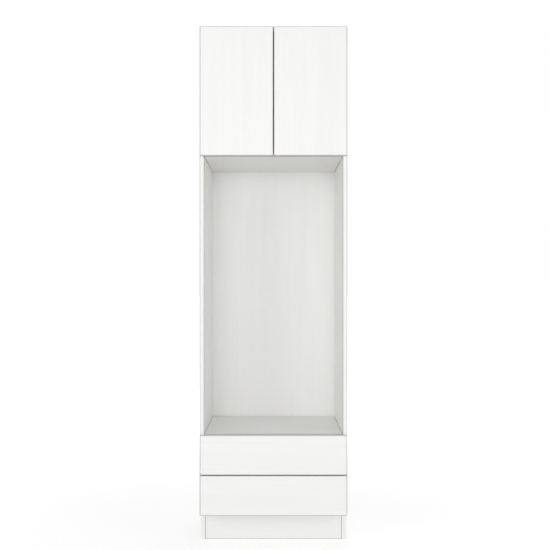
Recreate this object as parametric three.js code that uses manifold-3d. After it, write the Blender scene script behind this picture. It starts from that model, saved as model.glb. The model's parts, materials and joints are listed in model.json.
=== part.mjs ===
// Tall kitchen housing unit for built-in ovens. A frameless board cabinet holds a two-door
// cupboard at the top, an open niche for the appliances in the middle, and two drawers above
// a recessed toe kick. Millimetres, +Z up. The fronts face -Y, and the origin lies on the
// floor at the centre of the overall footprint.
import * as THREE from "three";
import { mergeVertices } from "three/addons/utils/BufferGeometryUtils.js";
import Module from "manifold-3d";

const wasm = await Module();
wasm.setup();

// ---- Carcass ---------------------------------------------------------------------------
const UNIT_WIDTH = 600;
const UNIT_HEIGHT = 2100;
const CARCASS_DEPTH = 560;
const BOARD = 18; // every carcass board
const SEAM = 0.2; // glue line or bearing gap between two pieces that touch
const TOE_KICK_HEIGHT = 116;
const TOE_KICK_RECESS = 65;
const NICHE_HEIGHT = 1128; // clear height of the appliance opening
const BACK_THICKNESS = 3;
const BACK_GROOVE_DEPTH = 6; // groove in each side panel that holds the back
const GROOVE_PLAY = 0.3; // slack of a thin panel in its groove, on each face
const REAR_RAIL_HEIGHT = 80;

// ---- Cam fittings ----------------------------------------------------------------------
// A cam in a blind bore draws each fixed board, and each drawer's front, against its mate.
const CAM_BORE_RADIUS = 7.5;
const CAM_BORE_DEPTH = 12.5;
const CAM_END_DISTANCE = 34; // from the end of the board that meets its mate
const CAM_EDGE_DISTANCE = 60; // from a fixed board's front edge, and from its rear edge
const DRAWER_CAM_MARGIN = 20; // from a drawer side's upper edge, and from its groove

// ---- Fronts ----------------------------------------------------------------------------
const FRONT_THICKNESS = 18;
const FRONT_EDGE_RADIUS = 1;
const FRONT_CORNER_RADIUS = 2;
const BUMPER_GAP = 2; // air between the carcass and a closed front
const SIDE_REVEAL = 2; // how far a front stays inside the side panel's outer face
const DOOR_GAP = 3; // between the two doors
const DRAWER_GAP = 3; // between the two drawer fronts
const TOP_REVEAL = 3; // above the doors
const NICHE_REVEAL = 2.5; // board edge left bare above and below the niche
const LOWER_FRONT_HEIGHT = 162;
const UPPER_FRONT_HEIGHT = 160.5;

// ---- Adjustable shelf ------------------------------------------------------------------
const SHELF_SIDE_GAP = 1;
const SHELF_SETBACK = 20; // behind the carcass front
const SHELF_REAR_GAP = 2.5;
const PIN_PITCH = 32;
const PIN_COLUMN_INSET = 37; // from the carcass front, and from the back panel
const PIN_ROW_MARGIN = 150; // bare board above and below the rows of holes
const PIN_RADIUS = 2.5;
const PIN_FIT = 0.15;
const PIN_DEPTH = 10; // length of the shank in the board
const PIN_HOLE_SPARE = 2; // hole left behind the end of the shank
const PIN_LUG_RADIUS = 4;
const PIN_LUG_LENGTH = 10;
const PIN_LUG_SEAT = 3; // flat top of the lug above the pin's axis

// ---- Concealed hinges ------------------------------------------------------------------
// Inward is measured from the side panel's inner face, depth from the door's back face.
const HINGE_END_DISTANCE = 100; // from the door's upper or lower edge
const CUP_EDGE_DISTANCE = 22; // from the door's outer edge to the cup's centre
const CUP_RADIUS = 17.3;
const CUP_DEPTH = 11.4;
const CUP_WALL = 0.6;
const CUP_FLOOR = 0.8;
const CUP_FIT = 0.2;
const FLANGE_THICKNESS = 1.2;
const FLANGE_OVERHANG = 1.7;
const WING_OFFSET = 9.5; // screws sit this much further inward than the cup
const WING_SPREAD = 24; // from the cup's centre line to each screw
const WING_RADIUS = 6;
const CUP_SCREW_RADIUS = 2.1;
const LINK_ROOT_OFFSET = 12; // fixed pivot, inward of the cup's centre
const LINK_ROOT_DEPTH = 3;
const LINK_TIP_OFFSET = 12.1; // moving pivot, outward of the cup's centre
const LINK_TIP_DEPTH = 6.2;
const LINK_CROWN = 3.5; // rise of the bend that carries the link round the cup's rim
const LINK_SHEET = 1.8;
const LINK_WIDTH = 8;
const EYE_RADIUS = 2.6;
const TIP_EYE_RADIUS = 2;
const RIVET_RADIUS = 1.3;
const TIP_RIVET_LENGTH = 13;
const HINGE_PLAY = 0.3; // running gap inside the hinge
const ARM_SHEET = 1.2;
const ARM_NOSE_RADIUS = 3;
const ARM_WEB_DROP = 4.5; // from the fixed pivot down to the web over the plate
const ARM_FOOT = 4; // lower edge of the cheeks above the side panel
const ARM_REACH = 58; // from the carcass front to the arm's rear end
const ARM_BEND = 14; // from the carcass front to where the arm starts to rise
const ARM_SLOT_RADIUS = 2.2;
const ARM_SLOT_SPREAD = 9.5; // from the plate's screw line to each of the arm's screw holes
const PLATE_INSET = 37; // mounting screws behind the carcass front
const PLATE_SCREW_PITCH = 32;
const PLATE_SHEET = 2.4;
const PLATE_WING_RADIUS = 8;
const PLATE_SCREW_RADIUS = 2.6;
const PLATE_RAIL_LENGTH = 38;

// ---- Drawers ---------------------------------------------------------------------------
const BOX_BOARD = 16;
const BOX_HEIGHT = 110;
const BOX_BOTTOM = 5;
const BOX_BOTTOM_RISE = 12; // from the lower edge of the sides to the bottom
const BOX_GROOVE_DEPTH = 8;
const DRAWER_REAR_GAP = 36.8; // from the drawer's back to the unit's back panel
const RUNNER_SETBACK = 2; // behind the carcass front
const RUNNER_THICKNESS = 12.6;
const RUNNER_HEIGHT = 45;
const RUNNER_SHEET = 1.2;
const RUNNER_LIP = 2.7;
const RUNNER_BEND_RADIUS = 2.6; // outside of every bend
const RUNNER_LIP_GAP = 0.7; // between one member's lip and the member inside it
const MEMBER_STANDOFF = 1; // between neighbouring webs and lips, across the runner
const SLOT_RADIUS = 2.6;
const SLOT_LENGTH = 10;
const SLOT_INSET = 37; // first and last screw slot from the member's ends

// ---- Facets ----------------------------------------------------------------------------
const HOLE_SIDES = 8;
const CUP_SIDES = 28;
const ROUND_SIDES = 12;
const CAM_SIDES = 16;
const ARC_STEPS = 3;
const LINK_STEPS = 8;
const FRONT_EDGE_STEPS = 2;
const OVERCUT = 1; // how far a cutting tool runs past the face that it opens

// ---- Levels and planes that follow from the sizes above --------------------------------
const unitDepth = CARCASS_DEPTH + BUMPER_GAP + FRONT_THICKNESS;
const rearY = unitDepth / 2;
const carcassFrontY = rearY - CARCASS_DEPTH;
const frontBackY = carcassFrontY - BUMPER_GAP;
const innerX = UNIT_WIDTH / 2 - BOARD;
const backRearY = rearY - BOARD - SEAM;
const backFrontY = backRearY - BACK_THICKNESS;
const shelfRearY = backFrontY - SEAM;
const runnerFrontY = carcassFrontY + RUNNER_SETBACK;
const runnerLength = backFrontY - DRAWER_REAR_GAP - runnerFrontY;

const bottomTopZ = TOE_KICK_HEIGHT + BOARD;
const drawerSplitZ = TOE_KICK_HEIGHT + LOWER_FRONT_HEIGHT + DRAWER_GAP / 2;
const upperFrontZ = drawerSplitZ + DRAWER_GAP / 2;
const ovenShelfTopZ = upperFrontZ + UPPER_FRONT_HEIGHT + NICHE_REVEAL;
const nicheTopZ = ovenShelfTopZ + NICHE_HEIGHT;
const cupboardFloorZ = nicheTopZ + BOARD;
const cupboardTopZ = UNIT_HEIGHT - BOARD;

const doorBottomZ = nicheTopZ + NICHE_REVEAL;
const doorHeight = UNIT_HEIGHT - TOP_REVEAL - doorBottomZ;
const drawerFrontWidth = UNIT_WIDTH - 2 * SIDE_REVEAL;
const doorWidth = (drawerFrontWidth - DOOR_GAP) / 2;

const sides = [
  { name: "left", sign: -1 },
  { name: "right", sign: 1 },
];

// ---- Finishes --------------------------------------------------------------------------
const finishes = {
  front: { color: 0xfbfbf8, roughness: 0.45, metalness: 0 },
  board: { color: 0xf7f7f3, roughness: 0.5, metalness: 0 },
  back: { color: 0xf9f9f6, roughness: 0.55, metalness: 0 },
  nickel: { color: 0xc9c9c6, roughness: 0.28, metalness: 1 },
  zinc: { color: 0xb7bbbe, roughness: 0.38, metalness: 1 },
};

function piece(name, geometry, finish) {
  const mesh = new THREE.Mesh(geometry, new THREE.MeshStandardMaterial(finishes[finish]));
  mesh.material.flatShading = true;
  mesh.name = name;
  return mesh;
}

function groupOf(name, ...members) {
  const group = new THREE.Group();
  group.name = name;
  group.add(...members);
  return group;
}

// ---- Solids: joining, cutting and turning ----------------------------------------------
function toSolid(geometry) {
  const bare = geometry.clone();
  bare.deleteAttribute("normal");
  bare.deleteAttribute("uv");
  const merged = mergeVertices(bare);
  return new wasm.Manifold(new wasm.Mesh({
    numProp: 3,
    vertProperties: merged.attributes.position.array,
    triVerts: new Uint32Array(merged.index.array),
  }));
}

function toGeometry(solid) {
  const { vertProperties, triVerts } = solid.getMesh();
  const geometry = new THREE.BufferGeometry();
  geometry.setAttribute("position", new THREE.BufferAttribute(vertProperties, 3));
  geometry.setIndex(new THREE.BufferAttribute(triVerts, 1));
  return geometry;
}

function joined(geometries) {
  const solids = geometries.map(toSolid);
  return toGeometry(solids.reduce((whole, part) => whole.add(part)));
}

function cutBy(geometry, tools) {
  const start = toSolid(geometry);
  return toGeometry(tools.map(toSolid).reduce((rest, tool) => rest.subtract(tool), start));
}

// Mirror image across x = 0, with its faces turned to point outwards again.
function mirrored(geometry) {
  const bare = geometry.index ? geometry.toNonIndexed() : geometry.clone();
  bare.deleteAttribute("normal");
  bare.deleteAttribute("uv");
  const points = bare.attributes.position;
  const image = new Float32Array(points.count * 3);
  for (let i = 0; i < points.count; i += 3) {
    for (const [to, from] of [[i, i], [i + 1, i + 2], [i + 2, i + 1]]) {
      image.set([-points.getX(from), points.getY(from), points.getZ(from)], to * 3);
    }
  }
  const result = new THREE.BufferGeometry();
  result.setAttribute("position", new THREE.BufferAttribute(image, 3));
  return mergeVertices(result);
}

// Geometry is drawn for the left side, where +x points into the unit.
function forSide(geometry, side) {
  return side.sign < 0 ? geometry : mirrored(geometry);
}

// Axis directions for an outline drawn in another plane than xy.
const acrossX = new THREE.Matrix4().makeBasis(
  new THREE.Vector3(0, 1, 0), new THREE.Vector3(0, 0, 1), new THREE.Vector3(1, 0, 0));
const alongY = new THREE.Matrix4().makeBasis(
  new THREE.Vector3(1, 0, 0), new THREE.Vector3(0, 0, 1), new THREE.Vector3(0, -1, 0));

// An outline in xy, pushed up along +z from z = 0.
function prism(outline, depth) {
  return new THREE.ExtrudeGeometry(outline, {
    depth,
    bevelEnabled: false,
    curveSegments: ARC_STEPS,
  });
}

// An outline in xy, pushed equally up and down from z = 0.
function centredPrism(outline, depth) {
  return prism(outline, depth).translate(0, 0, -depth / 2);
}

// An outline in yz, pushed from x = 0 towards +x.
function prismAcross(outline, depth) {
  return prism(outline, depth).applyMatrix4(acrossX);
}

// An outline in xz, pushed from y = 0 towards -y.
function prismForward(outline, depth) {
  return prism(outline, depth).applyMatrix4(alongY);
}

function outlineOf(points) {
  return new THREE.Shape(points.map(([x, y]) => new THREE.Vector2(x, y)));
}

// A box given by its lowest and highest corner.
function block(low, high) {
  const size = high.map((value, axis) => value - low[axis]);
  const middle = high.map((value, axis) => (value + low[axis]) / 2);
  return new THREE.BoxGeometry(...size).translate(...middle);
}

// A round bar or hole whose flats, not its corners, lie at the radius.
function roundAcross(radius, length) {
  const corner = radius / Math.cos(Math.PI / HOLE_SIDES);
  return new THREE.CylinderGeometry(corner, corner, length, HOLE_SIDES).rotateZ(Math.PI / 2);
}

// A board between its extents, placed by its centre.
function board(name, x, y, z, finish = "board") {
  const size = [x, y, z].map(([low, high]) => high - low);
  const mesh = piece(name, new THREE.BoxGeometry(...size), finish);
  mesh.position.set(...[x, y, z].map(([low, high]) => (low + high) / 2));
  return mesh;
}

// ---- Carcass ---------------------------------------------------------------------------
function pinRowHeights() {
  const free = cupboardTopZ - cupboardFloorZ - 2 * PIN_ROW_MARGIN;
  const rows = Math.max(1, Math.floor(free / PIN_PITCH) + 1);
  const first = (cupboardFloorZ + cupboardTopZ - (rows - 1) * PIN_PITCH) / 2;
  return Array.from({ length: rows }, (_, row) => first + row * PIN_PITCH);
}

const pinColumns = [
  { name: "front", y: carcassFrontY + PIN_COLUMN_INSET },
  { name: "rear", y: backFrontY - PIN_COLUMN_INSET },
];

function pinHoles() {
  const depth = PIN_DEPTH + PIN_HOLE_SPARE;
  const holes = [];
  for (const column of pinColumns) {
    for (const height of pinRowHeights()) {
      const hole = roundAcross(PIN_RADIUS + PIN_FIT, depth + OVERCUT);
      holes.push(hole.translate(BOARD + (OVERCUT - depth) / 2, column.y, height));
    }
  }
  return holes;
}

// Side panel from its outer face (x = 0) to its inner face, with the toe kick notch.
function sidePanelGeometry() {
  const notchY = carcassFrontY + TOE_KICK_RECESS;
  const outline = outlineOf([
    [notchY, 0],
    [rearY, 0],
    [rearY, UNIT_HEIGHT],
    [carcassFrontY, UNIT_HEIGHT],
    [carcassFrontY, TOE_KICK_HEIGHT],
    [notchY, TOE_KICK_HEIGHT],
  ]);
  const backGroove = block(
    [BOARD - BACK_GROOVE_DEPTH, backFrontY - GROOVE_PLAY, -OVERCUT],
    [BOARD + OVERCUT, backRearY + GROOVE_PLAY, UNIT_HEIGHT + OVERCUT]);
  return cutBy(prismAcross(outline, BOARD), [backGroove, ...pinHoles()]);
}

function sidePanels() {
  const geometry = sidePanelGeometry();
  return sides.map((side) => {
    const panel = piece(`${side.name}_side_panel`, forSide(geometry, side), "board");
    panel.position.x = side.sign * UNIT_WIDTH / 2;
    return panel;
  });
}

const betweenSides = [-innerX + SEAM, innerX - SEAM];

// Blind bore for a cam, drilled down from z = 0.
function camBore() {
  const length = CAM_BORE_DEPTH + OVERCUT;
  const bore = new THREE.CylinderGeometry(CAM_BORE_RADIUS, CAM_BORE_RADIUS, length, CAM_SIDES);
  return bore.rotateX(Math.PI / 2).translate(0, 0, OVERCUT - length / 2);
}

// The four cam bores of a fixed board, about its centre, in its upper or its lower face.
function fixedBoardBores(bored) {
  const x = betweenSides[1] - CAM_END_DISTANCE;
  const y = (shelfRearY - carcassFrontY) / 2 - CAM_EDGE_DISTANCE;
  const places = [[-x, -y], [x, -y], [-x, y], [x, y]];
  const turn = bored === "above" ? 0 : Math.PI;
  return places.map(([boreX, boreY]) =>
    camBore().translate(0, 0, BOARD / 2).rotateX(turn).translate(boreX, boreY, 0));
}

// Fixed boards across the unit, each with the height of its upper face and the side on which
// its cams are hidden from someone in front of the open niche.
function fixedBoards() {
  const levels = {
    top_panel: [UNIT_HEIGHT, "below"],
    cupboard_base: [cupboardFloorZ, "above"],
    oven_shelf: [ovenShelfTopZ, "below"],
    bottom_panel: [bottomTopZ, "below"],
  };
  return Object.entries(levels).map(([name, [top, bored]]) => {
    const panel = board(name, betweenSides, [carcassFrontY, shelfRearY], [top - BOARD, top]);
    panel.geometry = cutBy(panel.geometry, fixedBoardBores(bored));
    return panel;
  });
}

function toeKick() {
  const faceY = carcassFrontY + TOE_KICK_RECESS;
  return board("toe_kick", betweenSides, [faceY, faceY + BOARD], [0, TOE_KICK_HEIGHT - SEAM]);
}

// The thin back stands in the side grooves. Its joints hide behind the two fixed boards.
function backPanels() {
  const reach = innerX + BACK_GROOVE_DEPTH - GROOVE_PLAY;
  const joints = [
    TOE_KICK_HEIGHT,
    ovenShelfTopZ - BOARD / 2,
    cupboardFloorZ - BOARD / 2,
    UNIT_HEIGHT,
  ];
  const names = ["lower_back_panel", "oven_back_panel", "upper_back_panel"];
  return names.map((name, i) =>
    board(name, [-reach, reach], [backFrontY, backRearY],
      [joints[i] + SEAM / 2, joints[i + 1] - SEAM / 2], "back"));
}

// Upright rails behind the back take the wall screws and cover the joints of the back.
function rearRails() {
  const spans = {
    top_rear_rail: [UNIT_HEIGHT - REAR_RAIL_HEIGHT, UNIT_HEIGHT],
    upper_rear_rail: [-1, 1].map((end) => cupboardFloorZ - BOARD / 2 + end * REAR_RAIL_HEIGHT / 2),
    lower_rear_rail: [-1, 1].map((end) => ovenShelfTopZ - BOARD / 2 + end * REAR_RAIL_HEIGHT / 2),
    rear_kick_rail: [0, bottomTopZ],
  };
  return Object.entries(spans).map(([name, span]) =>
    board(name, betweenSides, [rearY - BOARD, rearY], span));
}

// ---- Adjustable shelf and its pins -----------------------------------------------------
const shelfRows = pinRowHeights();
const shelfPinZ = shelfRows[Math.floor((shelfRows.length - 1) / 2)];

function adjustableShelf() {
  const reach = innerX - SHELF_SIDE_GAP;
  const underside = shelfPinZ + PIN_LUG_SEAT + SEAM;
  return board("adjustable_shelf", [-reach, reach],
    [carcassFrontY + SHELF_SETBACK, backFrontY - SHELF_REAR_GAP], [underside, underside + BOARD]);
}

// Shelf pin about its hole's axis: a round shank at -x and a lug with a flat top at +x.
function shelfPinGeometry() {
  const shank = roundAcross(PIN_RADIUS, PIN_DEPTH + SEAM + OVERCUT);
  shank.translate((SEAM + OVERCUT - PIN_DEPTH) / 2, 0, 0);
  const seatAngle = Math.asin(PIN_LUG_SEAT / PIN_LUG_RADIUS);
  const lugOutline = new THREE.Shape();
  lugOutline.absarc(0, 0, PIN_LUG_RADIUS, Math.PI - seatAngle, seatAngle, false);
  const lug = new THREE.ExtrudeGeometry(lugOutline, {
    depth: PIN_LUG_LENGTH,
    bevelEnabled: false,
    curveSegments: ROUND_SIDES,
  });
  return joined([shank, lug.applyMatrix4(acrossX).translate(SEAM, 0, 0)]);
}

function shelfPins() {
  const geometry = shelfPinGeometry();
  const pins = [];
  for (const side of sides) {
    for (const column of pinColumns) {
      const pin = piece(`shelf_pin_${side.name}_${column.name}`, forSide(geometry, side), "nickel");
      pin.position.set(side.sign * innerX, column.y, shelfPinZ);
      pins.push(pin);
    }
  }
  return pins;
}

// ---- Fronts ----------------------------------------------------------------------------
// Front board centred on x and z, from its back face (y = 0) to its show face, all edges
// of the show face and of the back rounded.
function frontGeometry(width, height) {
  const r = FRONT_CORNER_RADIUS;
  const x = width / 2 - r;
  const z = height / 2 - r;
  const outline = new THREE.Shape();
  outline.absarc(x, z, r, 0, Math.PI / 2);
  outline.absarc(-x, z, r, Math.PI / 2, Math.PI);
  outline.absarc(-x, -z, r, Math.PI, Math.PI * 1.5);
  outline.absarc(x, -z, r, Math.PI * 1.5, Math.PI * 2);
  outline.closePath();
  const slab = new THREE.ExtrudeGeometry(outline, {
    depth: FRONT_THICKNESS - 2 * FRONT_EDGE_RADIUS,
    bevelThickness: FRONT_EDGE_RADIUS,
    bevelSize: FRONT_EDGE_RADIUS,
    bevelOffset: -FRONT_EDGE_RADIUS,
    bevelSegments: FRONT_EDGE_STEPS,
    curveSegments: FRONT_EDGE_STEPS,
  });
  return slab.translate(0, 0, FRONT_EDGE_RADIUS).applyMatrix4(alongY);
}

// ---- Concealed hinge, about the carcass front and the side panel's inner face ----------
const doorEdgeX = SIDE_REVEAL - BOARD;
const cupX = doorEdgeX + CUP_EDGE_DISTANCE;
const doorBackY = -BUMPER_GAP;
const linkRoot = new THREE.Vector2(cupX + LINK_ROOT_OFFSET, doorBackY - LINK_ROOT_DEPTH);
const linkTip = new THREE.Vector2(cupX - LINK_TIP_OFFSET, doorBackY - LINK_TIP_DEPTH);
const armInnerWidth = LINK_WIDTH + 2 * HINGE_PLAY;
const armWidth = armInnerWidth + 2 * ARM_SHEET;
const armWebX = linkRoot.x - ARM_WEB_DROP;

function cupBore() {
  const radius = (CUP_RADIUS + CUP_FIT) / Math.cos(Math.PI / CUP_SIDES);
  const depth = CUP_DEPTH + CUP_FIT;
  const bore = new THREE.CylinderGeometry(radius, radius, depth + OVERCUT, CUP_SIDES);
  return bore.translate(0, (OVERCUT - depth) / 2, 0);
}

// Pressed bowl with a rim that lies on the door's back, and a wing for a screw at each end.
function hingeCupGeometry() {
  const rimBottom = doorBackY + SEAM;
  const rimTop = rimBottom + FLANGE_THICKNESS;
  const floor = rimBottom - CUP_DEPTH;
  const inner = CUP_RADIUS - CUP_WALL;
  const rim = CUP_RADIUS + FLANGE_OVERHANG;
  const profile = [
    [0, floor],
    [CUP_RADIUS - CUP_FLOOR, floor],
    [CUP_RADIUS, floor + CUP_FLOOR],
    [CUP_RADIUS, rimBottom],
    [rim, rimBottom],
    [rim, rimTop],
    [inner, rimTop],
    [inner, floor + 2 * CUP_FLOOR],
    [inner - CUP_FLOOR, floor + CUP_FLOOR],
    [0, floor + CUP_FLOOR],
  ].map(([r, y]) => new THREE.Vector2(r, y));
  const bowl = new THREE.LatheGeometry(profile, CUP_SIDES);

  const wingOutline = new THREE.Shape();
  wingOutline.absarc(WING_OFFSET, WING_SPREAD, WING_RADIUS, 0, Math.PI);
  wingOutline.absarc(WING_OFFSET, -WING_SPREAD, WING_RADIUS, Math.PI, 2 * Math.PI);
  wingOutline.closePath();
  for (const end of [-1, 1]) {
    const hole = new THREE.Path();
    hole.absarc(WING_OFFSET, end * WING_SPREAD, CUP_SCREW_RADIUS, 0, 2 * Math.PI);
    wingOutline.holes.push(hole);
  }
  const wings = new THREE.ExtrudeGeometry(wingOutline, {
    depth: FLANGE_THICKNESS,
    bevelEnabled: false,
    curveSegments: ROUND_SIDES / 2,
  }).applyMatrix4(alongY).translate(0, rimTop, 0);
  const mouth = new THREE.CylinderGeometry(CUP_RADIUS, CUP_RADIUS, CUP_DEPTH, CUP_SIDES);
  return joined([bowl, cutBy(wings, [mouth])]).translate(cupX, 0, 0);
}

function pinAlongZ(centre, radius, length) {
  const bar = new THREE.CylinderGeometry(radius, radius, length, ROUND_SIDES);
  return bar.rotateX(Math.PI / 2).translate(centre.x, centre.y, 0);
}

// Bent strip between the two pivots, with a bored eye at the fixed one and a cross rivet
// at the moving one. Its bend passes round the rim of the cup as the door opens.
function hingeLinkGeometry() {
  const span = linkTip.clone().sub(linkRoot);
  const outward = new THREE.Vector2(-span.y, span.x).normalize();
  const crown = linkRoot.clone().add(linkTip).multiplyScalar(0.5)
    .addScaledVector(outward, 2 * LINK_CROWN);
  const spine = new THREE.QuadraticBezierCurve(linkRoot, crown, linkTip);
  const edge = (offset) => Array.from({ length: LINK_STEPS + 1 }, (_, step) => {
    const t = step / LINK_STEPS;
    const tangent = spine.getTangent(t);
    const normal = new THREE.Vector2(-tangent.y, tangent.x);
    return spine.getPoint(t).addScaledVector(normal, offset);
  });
  const outline = [...edge(LINK_SHEET / 2), ...edge(-LINK_SHEET / 2).reverse()];
  const body = joined([
    centredPrism(new THREE.Shape(outline), LINK_WIDTH),
    pinAlongZ(linkRoot, EYE_RADIUS, LINK_WIDTH),
    pinAlongZ(linkTip, TIP_EYE_RADIUS, LINK_WIDTH),
    pinAlongZ(linkTip, RIVET_RADIUS, TIP_RIVET_LENGTH),
  ]);
  return cutBy(body, [pinAlongZ(linkRoot, RIVET_RADIUS + HINGE_PLAY, LINK_WIDTH + OVERCUT)]);
}

// Channel that clips over the mounting plate and carries the fixed rivet in its nose.
function hingeArmGeometry() {
  const side = new THREE.Shape();
  side.moveTo(ARM_FOOT, ARM_REACH);
  side.lineTo(ARM_FOOT, ARM_BEND);
  side.lineTo(linkRoot.x - ARM_NOSE_RADIUS, linkRoot.y);
  side.absarc(linkRoot.x, linkRoot.y, ARM_NOSE_RADIUS, Math.PI, 2 * Math.PI, false);
  side.lineTo(armWebX, ARM_BEND);
  side.lineTo(armWebX, ARM_REACH);
  side.closePath();
  const channel = cutBy(centredPrism(side, armWidth), [
    centredPrism(side, armInnerWidth).translate(-ARM_SHEET, 0, 0),
    pinAlongZ(linkRoot, ARM_NOSE_RADIUS + HINGE_PLAY, armInnerWidth),
    block([-OVERCUT, ARM_REACH - OVERCUT, -armInnerWidth / 2],
      [armWebX - ARM_SHEET, ARM_REACH + OVERCUT, armInnerWidth / 2]),
  ]);
  const slots = [-1, 1].map((end) =>
    roundAcross(ARM_SLOT_RADIUS, ARM_SHEET + 2 * OVERCUT)
      .translate(armWebX - ARM_SHEET / 2, PLATE_INSET + end * ARM_SLOT_SPREAD, 0));
  const rivet = pinAlongZ(linkRoot, RIVET_RADIUS, armWidth);
  return joined([cutBy(channel, slots), rivet]);
}

// Cross-shaped plate screwed to the side panel, with the raised rail that holds the arm.
function mountingPlateGeometry() {
  const wing = PLATE_SCREW_PITCH / 2;
  const outline = new THREE.Shape();
  outline.absarc(PLATE_INSET, wing, PLATE_WING_RADIUS, 0, Math.PI);
  outline.absarc(PLATE_INSET, -wing, PLATE_WING_RADIUS, Math.PI, 2 * Math.PI);
  outline.closePath();
  for (const end of [-1, 1]) {
    const hole = new THREE.Path();
    hole.absarc(PLATE_INSET, end * wing, PLATE_SCREW_RADIUS, 0, 2 * Math.PI);
    outline.holes.push(hole);
  }
  const base = new THREE.ExtrudeGeometry(outline, {
    depth: PLATE_SHEET,
    bevelEnabled: false,
    curveSegments: ROUND_SIDES / 2,
  }).applyMatrix4(acrossX);
  const railHalf = armInnerWidth / 2 - HINGE_PLAY;
  const foot = block(
    [0, PLATE_INSET - PLATE_RAIL_LENGTH / 2, -armWidth / 2],
    [PLATE_SHEET, PLATE_INSET + PLATE_RAIL_LENGTH / 2, armWidth / 2]);
  const rail = block(
    [0, PLATE_INSET - PLATE_RAIL_LENGTH / 2, -railHalf],
    [armWebX - ARM_SHEET - HINGE_PLAY - SEAM, PLATE_INSET + PLATE_RAIL_LENGTH / 2, railHalf]);
  return joined([base, foot, rail]).translate(SEAM, 0, 0);
}

const hingeHeights = {
  lower: doorBottomZ + HINGE_END_DISTANCE,
  upper: doorBottomZ + doorHeight - HINGE_END_DISTANCE,
};

function hinges() {
  const shapes = {
    hinge_cup: hingeCupGeometry(),
    hinge_link: hingeLinkGeometry(),
    hinge_arm: hingeArmGeometry(),
    hinge_plate: mountingPlateGeometry(),
  };
  const groups = [];
  for (const side of sides) {
    for (const [level, height] of Object.entries(hingeHeights)) {
      const members = Object.entries(shapes).map(([kind, geometry]) =>
        piece(`${side.name}_${level}_${kind}`, forSide(geometry, side), "nickel"));
      const group = groupOf(`${side.name}_${level}_hinge`, ...members);
      group.position.set(side.sign * innerX, carcassFrontY, height);
      groups.push(group);
    }
  }
  return groups;
}

// Door drawn for the left side, about the middle of its back face.
function doorGeometry() {
  const bores = Object.values(hingeHeights).map((height) =>
    cupBore().translate(CUP_EDGE_DISTANCE - doorWidth / 2, 0, height - doorBottomZ - doorHeight / 2));
  return cutBy(frontGeometry(doorWidth, doorHeight), bores);
}

function doors() {
  const geometry = doorGeometry();
  return sides.map((side) => {
    const door = piece(`${side.name}_door`, forSide(geometry, side), "front");
    const middleX = (doorWidth + DOOR_GAP) / 2;
    door.position.set(side.sign * middleX, frontBackY, doorBottomZ + doorHeight / 2);
    return door;
  });
}

// ---- Drawer runners --------------------------------------------------------------------
// Section of a rolled channel in xz: its web stands at x = 0 and its flanges reach to
// x = reach. A lip, where there is one, turns towards the middle, and every bend is a
// quarter circle, so that flange and lip make the curved track for the balls.
function channelOutline(reach, height, lip) {
  const top = height / 2;
  const bend = RUNNER_BEND_RADIUS;
  const inside = bend - RUNNER_SHEET;
  const lipEnd = top - Math.max(lip + RUNNER_SHEET, bend);
  const outline = new THREE.Shape();
  outline.moveTo(bend, -top);
  if (lip > 0) {
    outline.absarc(reach - bend, bend - top, bend, Math.PI * 1.5, Math.PI * 2, false);
    outline.lineTo(reach, -lipEnd);
    outline.lineTo(reach - RUNNER_SHEET, -lipEnd);
    outline.absarc(reach - bend, bend - top, inside, Math.PI * 2, Math.PI * 1.5, true);
  } else {
    outline.lineTo(reach, -top);
    outline.lineTo(reach, RUNNER_SHEET - top);
  }
  outline.absarc(bend, bend - top, inside, Math.PI * 1.5, Math.PI, true);
  outline.absarc(bend, top - bend, inside, Math.PI, Math.PI / 2, true);
  if (lip > 0) {
    outline.absarc(reach - bend, top - bend, inside, Math.PI / 2, 0, true);
    outline.lineTo(reach - RUNNER_SHEET, lipEnd);
    outline.lineTo(reach, lipEnd);
    outline.absarc(reach - bend, top - bend, bend, 0, Math.PI / 2, false);
  } else {
    outline.lineTo(reach, top - RUNNER_SHEET);
    outline.lineTo(reach, top);
  }
  outline.absarc(bend, top - bend, bend, Math.PI / 2, Math.PI, false);
  outline.absarc(bend, bend - top, bend, Math.PI, Math.PI * 1.5, false);
  outline.closePath();
  return outline;
}

// Screw slots through the web, near both ends and in the middle.
function runnerSlots() {
  const half = SLOT_LENGTH / 2 - SLOT_RADIUS;
  const outline = new THREE.Shape();
  outline.absarc(half, 0, SLOT_RADIUS, -Math.PI / 2, Math.PI / 2);
  outline.absarc(-half, 0, SLOT_RADIUS, Math.PI / 2, Math.PI * 1.5);
  outline.closePath();
  const stations = [SLOT_INSET, runnerLength / 2, runnerLength - SLOT_INSET];
  return stations.map((station) =>
    prismAcross(outline, RUNNER_SHEET + 2 * OVERCUT).translate(-OVERCUT, -station, 0));
}

// One member from y = 0 back to y = -length before it is turned round to run rearwards.
function runnerMember(reach, height, lip, slotted) {
  const channel = prismForward(channelOutline(reach, height, lip), runnerLength);
  return slotted ? cutBy(channel, runnerSlots()) : channel;
}

// The three members nest in each other: the cabinet's and the middle one open towards the
// drawer, the drawer's opens towards the cabinet.
function runnerGeometries() {
  const nest = RUNNER_SHEET + MEMBER_STANDOFF;
  const middleHeight = RUNNER_HEIGHT - 2 * (RUNNER_SHEET + RUNNER_LIP + RUNNER_LIP_GAP);
  const drawerHeight = middleHeight - 2 * (RUNNER_SHEET + RUNNER_LIP + RUNNER_LIP_GAP);
  const innerReach = RUNNER_THICKNESS - 2 * nest;
  const rearward = (geometry) => geometry.translate(0, runnerLength, 0);
  const turned = mirrored(runnerMember(innerReach, drawerHeight, 0, true));
  return {
    cabinet_member: rearward(runnerMember(RUNNER_THICKNESS - nest, RUNNER_HEIGHT, RUNNER_LIP, true)),
    middle_member: rearward(runnerMember(innerReach, middleHeight, RUNNER_LIP, false))
      .translate(nest, 0, 0),
    drawer_member: rearward(turned).translate(RUNNER_THICKNESS, 0, 0),
  };
}

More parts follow.
